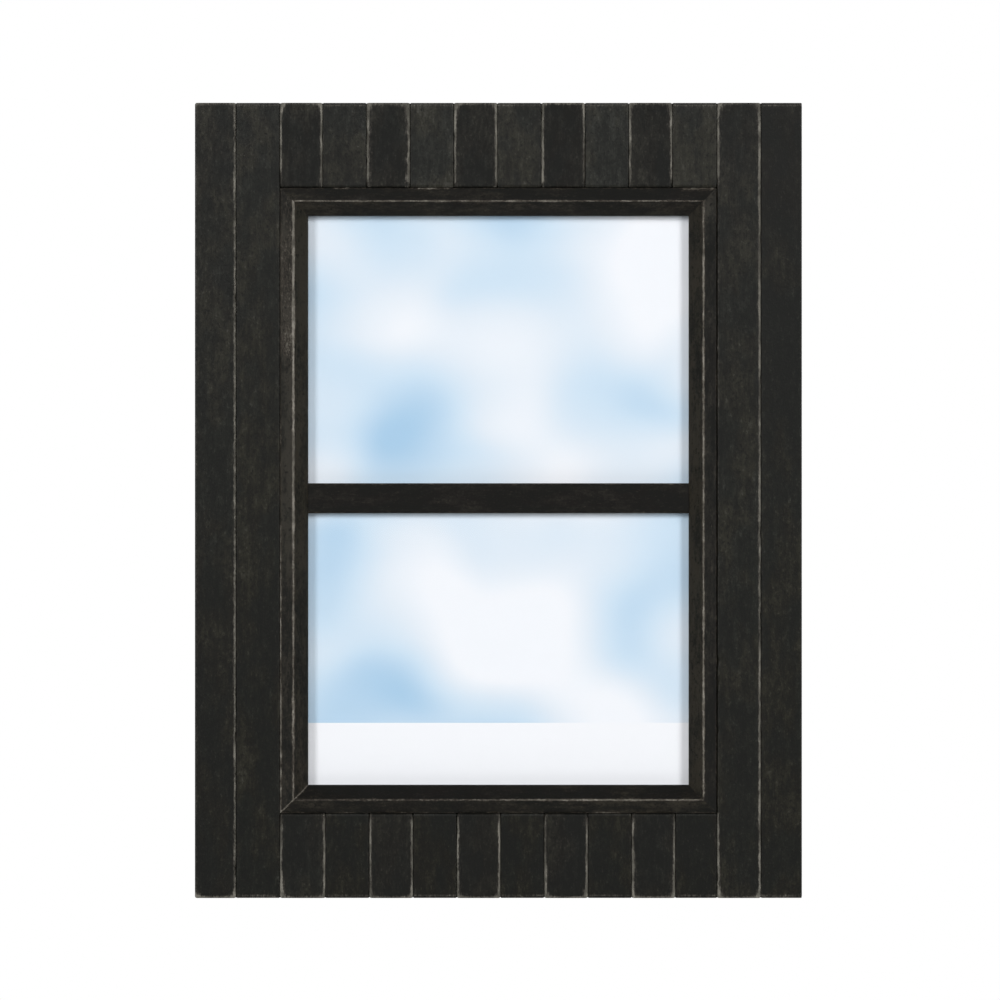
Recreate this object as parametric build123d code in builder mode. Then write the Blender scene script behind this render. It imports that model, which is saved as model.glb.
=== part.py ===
from build123d import *
from math import atan2, degrees, pi, tan
import os

# Collage photo frame for two landscape photographs, one above the other. All lengths are in millimetres.
# X runs to the right as seen from the front, Y from the front to the wall, Z up. The origin is the point
# where the wall nail carries the frame: the middle notch of the portrait hanger, on the wall's plane.

# Photographs and what is packed with them
photo_w = 177.8
photo_h = 127.0
insert_t = 0.25
glass_t = 2.0
board_t = 3.0
board_recess = 0.25
pack_clearance = 0.6

# Carrier of five flat bars behind the planks
middle_rail_h = 7.4

# Mitred sash: an outer slope up to a ridge, then an inner slope down to a lip over the glass
lip_cover = 3.8
sash_w = 12.5
sash_edge_h = 6.3
sash_ridge_in = 6.1
sash_ridge_h = 8.6
sash_ridge_r = 1.0
sash_lip_h = 3.4
sash_edge_r = 0.5
sash_gap = 0.1

# Cross bar between the two openings
muntin_w = 13.5
muntin_t = 3.4
muntin_rise = 1.0
muntin_edge_r = 1.0
muntin_gap = 0.05

# Planks
pairs_across = 5
side_plank_w = 19.6
edge_plank_w = 18.4
short_plank_l = 38.0
plank_gap = 0.1
top_row_shift = -0.4
bottom_row_shift = 0.9
proud_t = 7.5
proud_corner_r = 1.0
proud_edge_r = 0.9
low_t = 6.5
low_edge_r = 0.4

# Turn buttons and their screws
button_t = 0.9
button_reach = 13.0
button_pivot_r = 5.0
button_tip_r = 3.6
button_lip_l = 2.4
button_lip_rise = 0.8
button_setback = 7.0
button_spacing = 64.0
button_play = 0.1
screw_r = 1.5
screw_head_r = 3.0
screw_head_h = 1.5
screw_head_edge_r = 0.6
screw_grip = 4.6
screw_point_l = 1.6
screw_point_r = 0.3
recess_l = 3.4
recess_w = 0.8
recess_depth = 0.9

# Sawtooth hangers and their nails
hanger_drop = 20.0
hanger_side_inset = 16.0
hanger_t = 0.8
hanger_stand = 1.6
hanger_span = 26.0
hanger_foot_l = 9.0
hanger_h = 9.0
tooth_pitch = 2.2
tooth_depth = 1.5
nail_r = 0.8
nail_head_r = 1.8
nail_head_t = 0.6
nail_grip = 4.4

# Wall bumpers
bumper_t = 3.0
bumper_r = 5.0
bumper_edge_r = 0.8
bumper_inset = 13.0

# Staples across the carrier's joints
staple_crown = 11.0
staple_wire_w = 1.1
staple_wire_t = 0.6
staple_grip = 4.2
staple_inset = 12.0

# V-nails in the mitres, and pins in the cross bar
v_nail_leg = 4.2
v_nail_t = 0.5
v_nail_h = 4.0
v_nail_half_angle = 60.0
v_nail_setback = 5.0
pin_r = 0.7
pin_grip = 2.0
pin_inset = 45.0

# Room round every fastener in the wood
fastener_clearance = 0.05

# Depths, measured forwards from the wall
carrier_t = glass_t + insert_t + board_t + board_recess
carrier_back = bumper_t
carrier_front = carrier_back + carrier_t
button_back = carrier_back - button_play
screw_head_back = button_back - button_t - button_play

# Openings, sash and outline
pocket_w = photo_w + 2 * pack_clearance
pocket_h = photo_h + 2 * pack_clearance
sash_in_w = pocket_w - 2 * lip_cover
sash_in_h = 2 * pocket_h + middle_rail_h - 2 * lip_cover
sash_out_w = sash_in_w + 2 * sash_w
sash_out_h = sash_in_h + 2 * sash_w
field_w = sash_out_w + 2 * sash_gap
frame_w = field_w + 2 * (side_plank_w + plank_gap + edge_plank_w)
frame_h = sash_out_h + 2 * (sash_gap + short_plank_l)
top_z = hanger_drop
bottom_z = top_z - frame_h
middle_z = (top_z + bottom_z) / 2
pocket_zs = {
    "upper": middle_z + (middle_rail_h + pocket_h) / 2,
    "lower": middle_z - (middle_rail_h + pocket_h) / 2,
}
rail_h = (frame_h - middle_rail_h) / 2 - pocket_h
stile_w = (frame_w - pocket_w) / 2

# Upright planes that face the front, at a depth from the wall
front = Plane.XZ
corner_signs = [(1, 1), (1, -1), (-1, 1), (-1, -1)]

# Where the fasteners stand, as (x, z)
pivot_x = pocket_w / 2 + button_setback
button_spots = [
    (side * pivot_x, pocket_z + end * button_spacing / 2)
    for pocket_z in pocket_zs.values()
    for side in (-1, 1)
    for end in (1, -1)
]
bumper_x = frame_w / 2 - bumper_inset
bumper_spots = [(x * bumper_x, middle_z + z * (frame_h / 2 - bumper_inset)) for x, z in corner_signs]
staple_zs = [
    top_z - staple_inset,
    top_z - rail_h + staple_inset,
    middle_z,
    bottom_z + rail_h - staple_inset,
    bottom_z + staple_inset,
]
staple_spots = [(side * pocket_w / 2, z) for side in (-1, 1) for z in staple_zs]
pin_spots = [(-pin_inset, middle_z), (pin_inset, middle_z)]
hanger_nail_out = (hanger_span + hanger_foot_l) / 2
teeth_beside_middle = int((hanger_span / 2 - hanger_stand) / tooth_pitch - 0.5)
hanger_nail_z = hanger_h / 2 - tooth_depth
landscape_x = frame_w / 2 - hanger_side_inset
nail_spots = [(side * hanger_nail_out, hanger_nail_z) for side in (-1, 1)]
nail_spots += [(landscape_x + hanger_nail_z, middle_z + side * hanger_nail_out) for side in (-1, 1)]

os.makedirs("parts", exist_ok=True)


def save(piece, name):
    piece.part.label = name
    export_step(piece.part, f"parts/{name}.step")


def front_edges(piece):
    return piece.faces().sort_by(Axis.Y)[0].edges()


# Planks: proud ones have rounded corners and well eased edges, low ones are nearly square
def make_plank(name, x, z, width, length, proud):
    thickness = proud_t if proud else low_t
    with BuildPart() as plank:
        with BuildSketch(front.offset(carrier_front)):
            with Locations((x, z)):
                if proud:
                    RectangleRounded(width, length, proud_corner_r)
                else:
                    Rectangle(width, length)
        extrude(amount=thickness)
        fillet(front_edges(plank), proud_edge_r if proud else low_edge_r)
    save(plank, name)


outer_x = (frame_w - edge_plank_w) / 2
inner_x = (field_w + side_plank_w) / 2
make_plank("plank_left_outer", -outer_x, middle_z, edge_plank_w, frame_h, True)
make_plank("plank_left_inner", -inner_x, middle_z, side_plank_w, frame_h, False)
make_plank("plank_right_inner", inner_x, middle_z, side_plank_w, frame_h, True)
make_plank("plank_right_outer", outer_x, middle_z, edge_plank_w, frame_h, False)

# Each row of short planks stands a little to one side, so its first and last planks differ in width
short_planks = 2 * pairs_across
short_plank_w = (field_w - (short_planks + 1) * plank_gap) / short_planks
rows = [
    ("top", top_z - short_plank_l / 2, top_row_shift),
    ("bottom", bottom_z + short_plank_l / 2, bottom_row_shift),
]
for row, row_z, row_shift in rows:
    plank_left = -field_w / 2 + plank_gap
    for number in range(short_planks):
        plank_w = short_plank_w
        if number == 0:
            plank_w += row_shift
        if number == short_planks - 1:
            plank_w -= row_shift
        plank_x = plank_left + plank_w / 2
        proud = number % 2 == 0
        make_plank(f"plank_{row}_{number + 1}", plank_x, row_z, plank_w, short_plank_l, proud)
        plank_left += plank_w + plank_gap


# A thin V at each mitre, seen from the back; room is added all round when it cuts its own slot
def v_nails(room, mode):
    with BuildSketch(front.offset(carrier_front)) as outline:
        for side_x, side_z in corner_signs:
            corner_x = side_x * (sash_out_w / 2 - v_nail_setback)
            corner_z = middle_z + side_z * (sash_out_h / 2 - v_nail_setback)
            inward = degrees(atan2(-side_z, -side_x))
            with Locations((corner_x, corner_z)):
                Circle(v_nail_t / 2 + room)
                for turn in (v_nail_half_angle, -v_nail_half_angle):
                    Rectangle(
                        v_nail_leg + room,
                        v_nail_t + 2 * room,
                        rotation=inward + turn,
                        align=(Align.MIN, Align.CENTER),
                    )
    extrude(outline.sketch, amount=v_nail_h + room, mode=mode)


# Sash rails: one section run along each side, then cut at 45 degrees through the corners
def make_sash_rail(name, inward, half_across, half_along):
    along = inward.cross(Vector(0, -1, 0))
    outer_middle = Vector(0, -carrier_front, middle_z) - inward * half_across
    section = Plane(origin=outer_middle, x_dir=inward, z_dir=along)
    with BuildPart() as rail:
        with BuildSketch(section) as profile:
            with BuildLine():
                Polyline(
                    (0, 0),
                    (0, sash_edge_h),
                    (sash_ridge_in, sash_ridge_h),
                    (sash_w, sash_lip_h),
                    (sash_w, 0),
                    close=True,
                )
            make_face()
            fillet(profile.vertices().sort_by(Axis.Y)[-1], sash_ridge_r)
            for side in (0, -1):
                fillet(profile.vertices().group_by(Axis.X)[side].sort_by(Axis.Y)[-1], sash_edge_r)
        extrude(amount=half_along, both=True)
        for end in (1, -1):
            corner = outer_middle + along * (end * half_along)
            split(bisect_by=Plane(origin=corner, z_dir=-inward - along * end), keep=Keep.TOP)
        v_nails(fastener_clearance, Mode.SUBTRACT)
    save(rail, name)


make_sash_rail("sash_top", Vector(0, 0, -1), sash_out_h / 2, sash_out_w / 2)
make_sash_rail("sash_bottom", Vector(0, 0, 1), sash_out_h / 2, sash_out_w / 2)
make_sash_rail("sash_left", Vector(1, 0, 0), sash_out_w / 2, sash_out_h / 2)
make_sash_rail("sash_right", Vector(-1, 0, 0), sash_out_w / 2, sash_out_h / 2)

with BuildPart() as sash_v_nails:
    v_nails(0, Mode.ADD)
save(sash_v_nails, "sash_v_nails")

# Cross bar, let in between the side rails of the sash
with BuildPart() as muntin:
    with BuildSketch(front.offset(carrier_front)):
        with Locations((0, middle_z + muntin_rise)):
            Rectangle(sash_in_w - 2 * muntin_gap, muntin_w)
    extrude(amount=muntin_t)
    fillet(front_edges(muntin).filter_by(Axis.X), muntin_edge_r)
    with BuildSketch(front.offset(carrier_front)):
        with Locations(*pin_spots):
            Circle(pin_r + fastener_clearance)
    extrude(amount=pin_grip + fastener_clearance, mode=Mode.SUBTRACT)
save(muntin, "muntin")

with BuildPart() as muntin_pins:
    with BuildSketch(front.offset(carrier_back)):
        with Locations(*pin_spots):
            Circle(pin_r)
    extrude(amount=carrier_t + pin_grip)
save(muntin_pins, "muntin_pins")


# Both legs of every staple, driven in from the carrier's back
def staple_legs(room, mode):
    leg_out = (staple_crown - staple_wire_t) / 2
    with BuildSketch(front.offset(carrier_back)) as outline:
        for x, z in staple_spots:
            with Locations((x - leg_out, z), (x + leg_out, z)):
                Rectangle(staple_wire_t + 2 * room, staple_wire_w + 2 * room)
    extrude(outline.sketch, amount=staple_grip + room, mode=mode)


# Carrier bars, drilled from the back for every fastener that lands on them
def make_carrier_bar(name, x, z, width, height):
    with BuildPart() as bar:
        with BuildSketch(front.offset(carrier_back)):
            with Locations((x, z)):
                Rectangle(width, height)
        extrude(amount=carrier_t)
        with BuildSketch(front.offset(carrier_back)):
            with Locations(*button_spots):
                Circle(screw_r + fastener_clearance)
        extrude(amount=screw_grip + fastener_clearance, mode=Mode.SUBTRACT)
        with BuildSketch(front.offset(carrier_back)):
            with Locations(*nail_spots):
                Circle(nail_r + fastener_clearance)
        extrude(amount=nail_grip + fastener_clearance, mode=Mode.SUBTRACT)
        with BuildSketch(front.offset(carrier_back)):
            with Locations(*pin_spots):
                Circle(pin_r + fastener_clearance)
        extrude(amount=carrier_t, mode=Mode.SUBTRACT)
        staple_legs(fastener_clearance, Mode.SUBTRACT)
    save(bar, name)


stile_x = (pocket_w + stile_w) / 2
make_carrier_bar("carrier_stile_left", -stile_x, middle_z, stile_w, frame_h)
make_carrier_bar("carrier_stile_right", stile_x, middle_z, stile_w, frame_h)
make_carrier_bar("carrier_rail_top", 0, top_z - rail_h / 2, pocket_w, rail_h)
make_carrier_bar("carrier_rail_middle", 0, middle_z, pocket_w, middle_rail_h)
make_carrier_bar("carrier_rail_bottom", 0, bottom_z + rail_h / 2, pocket_w, rail_h)

with BuildPart() as carrier_staples:
    with BuildSketch(front.offset(carrier_back)):
        with Locations(*staple_spots):
            Rectangle(staple_crown, staple_wire_w)
    extrude(amount=-staple_wire_t)
    staple_legs(0, Mode.ADD)
save(carrier_staples, "carrier_staples")


# What lies in each pocket, from the lip backwards: glass, paper insert, backing board
def make_sheet(name, pocket_z, sheet_front, thickness):
    with BuildPart() as sheet:
        with BuildSketch(front.offset(sheet_front)):
            with Locations((0, pocket_z)):
                Rectangle(photo_w, photo_h)
        extrude(amount=-thickness)
    save(sheet, name)


for place, pocket_z in pocket_zs.items():
    make_sheet(f"glass_{place}", pocket_z, carrier_front, glass_t)
    make_sheet(f"insert_{place}", pocket_z, carrier_front - glass_t, insert_t)
    make_sheet(f"backing_board_{place}", pocket_z, carrier_front - glass_t - insert_t, board_t)


# Turn buttons: a pressed tongue with its tip bent up for a finger, pointing in over the board
def make_button(name, x, z):
    inward = Vector(-1 if x > 0 else 1, 0, 0)
    pivot = Vector(x, -button_back, z)
    bend = button_reach + button_tip_r - button_lip_l
    tip = button_reach + button_tip_r
    shift = button_t * tan(pi / 8)
    side_view = Plane(origin=pivot, x_dir=inward, z_dir=inward.cross(Vector(0, 1, 0)))
    with BuildPart() as button:
        with BuildSketch(side_view):
            with BuildLine():
                Polyline(
                    (-button_pivot_r, 0),
                    (bend, 0),
                    (tip, button_lip_rise),
                    (tip, button_lip_rise + button_t),
                    (bend - shift, button_t),
                    (-button_pivot_r, button_t),
                    close=True,
                )
            make_face()
        extrude(amount=button_pivot_r, both=True)
        with BuildSketch(Plane(origin=pivot, x_dir=inward, z_dir=(0, 1, 0))):
            Circle(button_pivot_r)
            with Locations((button_reach, 0)):
                Circle(button_tip_r)
            make_hull()
            Circle(screw_r + button_play, mode=Mode.SUBTRACT)
        extrude(amount=button_lip_rise + 2 * button_t, mode=Mode.INTERSECT)
    save(button, name)


for number, (x, z) in enumerate(button_spots):
    make_button(f"turn_button_{number + 1}", x, z)

# Pan-head screws with a cross recess, one through each button into a stile
with BuildPart() as turn_button_screws:
    with BuildSketch(front.offset(screw_head_back)):
        with Locations(*button_spots):
            Circle(screw_head_r)
    extrude(amount=-screw_head_h)
    fillet(turn_button_screws.faces().group_by(Axis.Y)[-1].edges(), screw_head_edge_r)
    with BuildSketch(front.offset(screw_head_back - screw_head_h)):
        for x, z in button_spots:
            with Locations((x, z)):
                Rectangle(recess_l, recess_w)
                Rectangle(recess_w, recess_l)
    extrude(amount=recess_depth, mode=Mode.SUBTRACT)
    with BuildSketch(front.offset(screw_head_back)):
        with Locations(*button_spots):
            Circle(screw_r)
    extrude(amount=carrier_back + screw_grip - screw_head_back)
    chamfer(turn_button_screws.faces().group_by(Axis.Y)[0].edges(), screw_point_l, screw_r - screw_point_r)
save(turn_button_screws, "turn_button_screws")


# Sawtooth hangers: a strip that stands off between two nailed feet, with teeth along its lower edge
def make_hanger(name, notch, along, up):
    seat = notch - Vector(0, carrier_back, 0) - up * tooth_depth
    half_foot = hanger_span / 2
    half_end = half_foot + hanger_foot_l
    rise_in = half_foot - hanger_stand
    shift = hanger_t * tan(pi / 8)
    right_half = [
        (rise_in, hanger_stand),
        (half_foot, 0),
        (half_end, 0),
        (half_end, hanger_t),
        (half_foot + shift, hanger_t),
        (rise_in + shift, hanger_stand + hanger_t),
    ]
    left_half = [(-a, b) for a, b in reversed(right_half)]
    out = Vector(0, 1, 0)
    with BuildPart() as hanger:
        with BuildSketch(Plane(origin=seat, x_dir=along, z_dir=up)):
            with BuildLine():
                Polyline(*right_half, *left_half, close=True)
            make_face()
        extrude(amount=hanger_h)
        with BuildSketch(Plane(origin=notch - Vector(0, carrier_back, 0), x_dir=along, z_dir=out)):
            for tooth in range(-teeth_beside_middle, teeth_beside_middle + 1):
                middle = tooth * tooth_pitch
                with BuildLine():
                    Polyline(
                        (middle, 0),
                        (middle - tooth_pitch / 2, tooth_depth),
                        (middle + tooth_pitch / 2, tooth_depth),
                        close=True,
                    )
                make_face()
        extrude(amount=hanger_stand + hanger_t, mode=Mode.SUBTRACT)
        with BuildSketch(Plane(origin=seat, x_dir=along, z_dir=out)):
            with Locations((hanger_nail_out, -hanger_h / 2), (-hanger_nail_out, -hanger_h / 2)):
                Circle(nail_r + fastener_clearance)
        extrude(amount=hanger_t, mode=Mode.SUBTRACT)
    save(hanger, name)


make_hanger("hanger_portrait", Vector(0, 0, 0), Vector(1, 0, 0), Vector(0, 0, 1))
make_hanger("hanger_landscape", Vector(landscape_x, 0, middle_z), Vector(0, 0, -1), Vector(1, 0, 0))

with BuildPart() as hanger_nails:
    with BuildSketch(front.offset(carrier_back - hanger_t - nail_head_t)):
        with Locations(*nail_spots):
            Circle(nail_head_r)
    extrude(amount=nail_head_t)
    with BuildSketch(front.offset(carrier_back - hanger_t)):
        with Locations(*nail_spots):
            Circle(nail_r)
    extrude(amount=hanger_t + nail_grip)
save(hanger_nails, "hanger_nails")

# Bumpers keep the frame upright and off the wall
with BuildPart() as wall_bumpers:
    with BuildSketch(front):
        with Locations(*bumper_spots):
            Circle(bumper_r)
    extrude(amount=bumper_t)
    fillet(wall_bumpers.faces().group_by(Axis.Y)[-1].edges(), bumper_edge_r)
save(wall_bumpers, "wall_bumpers")

print("frame", round(frame_w, 2), "wide and", round(frame_h, 2), "high")
print("short plank width", round(short_plank_w, 2), "rail", round(rail_h, 2), "stile", round(stile_w, 2))
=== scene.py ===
import math

import bpy
import numpy as np
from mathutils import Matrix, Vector


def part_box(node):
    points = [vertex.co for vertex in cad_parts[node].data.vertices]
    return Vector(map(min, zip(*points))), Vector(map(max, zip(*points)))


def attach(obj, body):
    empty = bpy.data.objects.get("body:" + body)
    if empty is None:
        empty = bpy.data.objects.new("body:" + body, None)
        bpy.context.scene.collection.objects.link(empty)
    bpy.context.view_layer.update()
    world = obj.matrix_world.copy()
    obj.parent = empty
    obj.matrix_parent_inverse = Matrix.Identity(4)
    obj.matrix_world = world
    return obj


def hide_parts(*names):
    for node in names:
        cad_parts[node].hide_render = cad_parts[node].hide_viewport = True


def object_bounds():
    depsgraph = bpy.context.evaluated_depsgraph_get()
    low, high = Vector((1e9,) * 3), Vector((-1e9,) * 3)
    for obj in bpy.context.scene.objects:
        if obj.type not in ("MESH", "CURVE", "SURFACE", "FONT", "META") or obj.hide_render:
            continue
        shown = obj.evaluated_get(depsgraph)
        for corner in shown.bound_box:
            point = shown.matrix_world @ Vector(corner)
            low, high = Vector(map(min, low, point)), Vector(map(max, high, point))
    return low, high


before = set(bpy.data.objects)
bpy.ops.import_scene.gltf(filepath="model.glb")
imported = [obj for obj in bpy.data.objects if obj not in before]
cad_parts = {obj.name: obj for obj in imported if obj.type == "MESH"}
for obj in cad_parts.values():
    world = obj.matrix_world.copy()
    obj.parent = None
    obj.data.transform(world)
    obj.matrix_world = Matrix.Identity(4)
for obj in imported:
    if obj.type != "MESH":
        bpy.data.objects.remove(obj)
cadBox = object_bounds()
mm = 0.001
frameMiddle = (cadBox[0] + cadBox[1]) / 2


def linear(hexCode):
    parts = [int(hexCode[i:i + 2], 16) / 255 for i in (1, 3, 5)]
    return [c / 12.92 if c <= 0.04045 else ((c + 0.055) / 1.055) ** 2.4 for c in parts] + [1.0]


# one node with its settings and links: small-letter names are properties, the rest are sockets
def addNode(tree, kind, settings=(), links=()):
    new = tree.nodes.new("ShaderNode" + kind)
    for key, value in dict(settings).items():
        if key == "stops":
            while len(new.color_ramp.elements) < len(value):
                new.color_ramp.elements.new(0.5)
            for element, (place, hexCode) in zip(new.color_ramp.elements, value):
                element.position = place
                element.color = linear(hexCode)
        elif isinstance(key, str) and key[0].islower():
            setattr(new, key, value)
        else:
            new.inputs[key].default_value = value
    for key, source in dict(links).items():
        if isinstance(source, bpy.types.Node):
            source = next(socket for socket in source.outputs if socket.enabled)
        tree.links.new(source, new.inputs[key])
    return new


def newMaterial(name):
    material = bpy.data.materials.new(name)
    material.use_nodes = True
    material.node_tree.nodes.clear()
    return material, material.node_tree


# charcoal acrylic paint, brushed along planed pine and rubbed back with grit: satin and streaky, drifting
# from cool to warm, with a grey-brown undercoat and then grey-tan wood where the arrises are sanded through
paintLooks = {
    "painted_plank_wood": {
        "streak": (1.8, 2.0, 17.0),  # bristle marks, mm across, deep and along the board
        "stroke": (0.6, 1.5, 3.0),  # open grain under the paint
        "mottle": (3.2, 3.2, 6.4),  # where the rag lifted the wet paint
        "blotch": (15.0, 15.0, 28.0),  # where the coat went on thick or thin
        "grit": (0.8, 0.8, 1.0),  # sanding grit, coarser than real so that it shows
        "pit": (1.3, 1.3, 1.9),  # dust and pits in the paint
        "cold": [(0.42, "#090a07"), (0.50, "#12130f"), (0.58, "#21221e"), (0.68, "#363734")],
        "warm": [(0.42, "#0a0905"), (0.50, "#13120d"), (0.58, "#23221b"), (0.68, "#383732")],
        "undercoat": "#322f2a",
        "wood": [(0.38, "#43413b"), (0.5, "#595750"), (0.62, "#726f67")],
        "roughness": (0.35, 0.50),
    },
    "painted_sash_wood": {
        "streak": (1.4, 2.0, 12.0),
        "stroke": (0.55, 1.2, 2.4),
        "mottle": (2.6, 2.6, 5.0),
        "blotch": (9.0, 9.0, 24.0),
        "grit": (0.75, 0.75, 0.9),
        "pit": (1.2, 1.2, 1.6),
        "cold": [(0.42, "#0b0b08"), (0.50, "#15140f"), (0.58, "#24221b")],
        "warm": [(0.42, "#0d0b08"), (0.50, "#16140f"), (0.58, "#26231c")],
        "undercoat": "#352f28",
        "wood": [(0.38, "#494640"), (0.5, "#625f57"), (0.62, "#7e7a72")],
        "roughness": (0.40, 0.56),
    },
}
# how the layers lie over each other, on planks and sash
paintWork = {
    "noise": {"Scale": 1.0, "Detail": 4.0, "Roughness": 0.6},
    "softNoise": {"Scale": 1.0, "Detail": 2.0, "Roughness": 0.6},  # blotches
    "shares": {"mottle": 0.28, "blotch": 0.30, "streak": 0.18, "grit": 0.12, "stroke": 0.12},  # of the tone
    "pits": {"From Min": 0.56, "From Max": 0.70, "To Max": -0.15},
    "dust": {"From Min": 0.29, "From Max": 0.42, "To Min": 0.10, "To Max": 0.0},
    "warmth": {"From Min": 0.42, "From Max": 0.58, "interpolation_type": "SMOOTHSTEP"},
    "grainBite": (0.9, -0.45),  # grain and grit eat into a rubbed edge
    "gritBite": 0.7,
    "halo": {"From Min": 0.42, "From Max": 0.85, "To Max": 0.8, "interpolation_type": "SMOOTHSTEP"},
    "worn": {"From Min": 0.64, "From Max": 1.08, "interpolation_type": "SMOOTHSTEP"},
    "sheen": {"From Min": 0.4, "From Max": 0.6},  # tones between dull and satin paint
    "bareRoughness": 0.72,
    "gritRelief": 0.25,
    "wornRelief": -0.35,
    "bump": {"Strength": 0.5, "Distance": 0.25 * mm},
    "gloss": {"IOR": 1.5, "Specular IOR Level": 0.16},
}


def paintedWood(name):
    look = paintLooks[name]
    material, tree = newMaterial(name)
    grain = addNode(tree, "Attribute", {"attribute_name": "grain"})  # each board's own mm, kept on its mesh
    bare = addNode(tree, "Attribute", {"attribute_name": "bare"})  # how far the arris is rubbed
    matt = addNode(tree, "Attribute", {"attribute_name": "matt"})  # rubbed boards have lost some sheen
    coat = addNode(tree, "Attribute", {"attribute_name": "coat"})  # each board's paint tone, set darker or lighter, partly painted sheen and painted shade
    mark = {}
    for key in ("streak", "stroke", "mottle", "blotch", "grit", "pit"):
        divide = {"operation": "DIVIDE", 1: look[key]}
        scaled = addNode(tree, "VectorMath", divide, {0: grain.outputs["Vector"]})
        noise = paintWork["softNoise" if key == "blotch" else "noise"]
        mark[key] = addNode(tree, "TexNoise", noise, {"Vector": scaled})
    # paint tone: the board's own tone with its painted sheen and shade, soft blotches and mottling, bristle
    # marks, a little grit and grain, then pits and dust
    tone = coat.outputs["Fac"]
    for key, share in paintWork["shares"].items():
        tone = addNode(tree, "Math", {"operation": "MULTIPLY_ADD", 1: share}, {0: mark[key], 2: tone})
    for key in ("pits", "dust"):
        specks = addNode(tree, "MapRange", paintWork[key], {"Value": mark["pit"]})
        tone = addNode(tree, "Math", {"operation": "ADD"}, {0: tone, 1: specks})
    cold = addNode(tree, "ValToRGB", {"stops": look["cold"]}, {"Fac": tone})
    warm = addNode(tree, "ValToRGB", {"stops": look["warm"]}, {"Fac": tone})
    warmth = addNode(tree, "MapRange", paintWork["warmth"], {"Value": mark["blotch"]})
    paint = addNode(tree, "Mix", {"data_type": "RGBA"}, {"Factor": warmth, "A": cold, "B": warm})
    # rubbed edge: the mesh says where, grit and grain break its outline
    bite, shift = paintWork["grainBite"]
    rub = addNode(tree, "Math", {"operation": "MULTIPLY_ADD", 1: bite, 2: shift}, {0: mark["stroke"]})
    rub = addNode(tree, "Math", {"operation": "ADD"}, {0: rub, 1: bare.outputs["Fac"]})
    bite = paintWork["gritBite"]
    rub = addNode(tree, "Math", {"operation": "MULTIPLY_ADD", 1: bite}, {0: mark["grit"], 2: rub})
    halo = addNode(tree, "MapRange", paintWork["halo"], {"Value": rub})
    worn = addNode(tree, "MapRange", paintWork["worn"], {"Value": rub})
    wood = addNode(tree, "ValToRGB", {"stops": look["wood"]}, {"Fac": mark["mottle"]})
    undercoat = {"data_type": "RGBA", "B": linear(look["undercoat"])}
    under = addNode(tree, "Mix", undercoat, {"Factor": halo, "A": paint})
    colour = addNode(tree, "Mix", {"data_type": "RGBA"}, {"Factor": worn, "A": under, "B": wood})
    # lighter paint shines more, bare wood not at all
    low, high = look["roughness"]
    satin = addNode(tree, "MapRange", {**paintWork["sheen"], "To Min": high, "To Max": low}, {"Value": tone})
    satin = addNode(tree, "Math", {"operation": "ADD"}, {0: satin, 1: matt.outputs["Fac"]})
    bareWood = {"data_type": "FLOAT", "B": paintWork["bareRoughness"]}
    rough = addNode(tree, "Mix", bareWood, {"Factor": worn, "A": satin})
    relief = tone
    for source, share in ((mark["grit"], paintWork["gritRelief"]), (worn, paintWork["wornRelief"])):
        relief = addNode(tree, "Math", {"operation": "MULTIPLY_ADD", 1: share}, {0: source, 2: relief})
    bump = addNode(tree, "Bump", paintWork["bump"], {"Height": relief})
    links = {"Base Color": colour, "Roughness": rough, "Normal": bump}
    shader = addNode(tree, "BsdfPrincipled", paintWork["gloss"], links)
    addNode(tree, "OutputMaterial", (), {"Surface": shader})
    return material


paints = {name: paintedWood(name) for name in paintLooks}
print("paints mixed:", ", ".join(paints))


# a smooth random line along t, between -1 and 1, whose waves are about size long
def wobble(t, size, rng):
    knots = rng.uniform(-1, 1, int((t.max() - t.min()) / size) + 4)
    place = (t - t.min()) / size
    first = place.astype(int)
    part = place - first
    part = part * part * (3 - 2 * part)
    return knots[first] * (1 - part) + knots[first + 1] * part


# a level with such lines added: the level, then (mm of a wave, share) for each line
def waves(t, recipe, rng):
    level, *lines = recipe
    for size, share in lines:
        level = level + share * wobble(t, size, rng)
    return level


# 1 along a stretch, dying away towards its two ends
def stretch(t, start, stop, fade):
    return np.clip(np.minimum(t - start, stop - t) / fade, 0, 1)


# a line's strength at a distance from it: whole at its crown, gone a little beyond its width
def band(apart, width, crown=1.25):
    return np.clip(crown - apart / width, 0, 1)


arrisAngle = 38.0  # degrees: smaller turns look round


# a closed mesh that stands for a solid, with its own marks for the shader
def addPiece(name, points, faces, node, material, marks=()):
    mesh = bpy.data.meshes.new(name)
    mesh.from_pydata((points * mm).tolist(), [], [list(map(int, f)) for f in faces])
    for key, values in dict(marks).items():
        kind, field = ("FLOAT_VECTOR", "vector") if values.ndim == 2 else ("FLOAT", "value")
        mesh.attributes.new(key, kind, "POINT").data.foreach_set(field, values.astype(np.float32).ravel())
    mesh.shade_smooth()
    mesh.set_sharp_from_angle(angle=math.radians(arrisAngle))
    mesh.materials.append(material)
    piece = bpy.data.objects.new(name, mesh)
    bpy.context.scene.collection.objects.link(piece)
    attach(piece, "frame")
    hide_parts(node)


easeCuts = np.array([0, 0.15, 0.32, 0.5, 0.7, 1.0])  # where a rounded arris is cut, in parts of its size
pastEase = 1.5  # one cut more beyond it
flush = 0.01  # mm: nearer than this lies on the face


# cut places along one side: close together in the eased ends, about step apart between them
def cutsAlong(half, ease, step):
    eased = half - ease * np.append(easeCuts, pastEase)
    inner = eased[-1]
    between = np.linspace(-inner, inner, max(2, round(2 * inner / step)) + 1)
    return np.concatenate([-eased[:-1], between, eased[-2::-1]])


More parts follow.
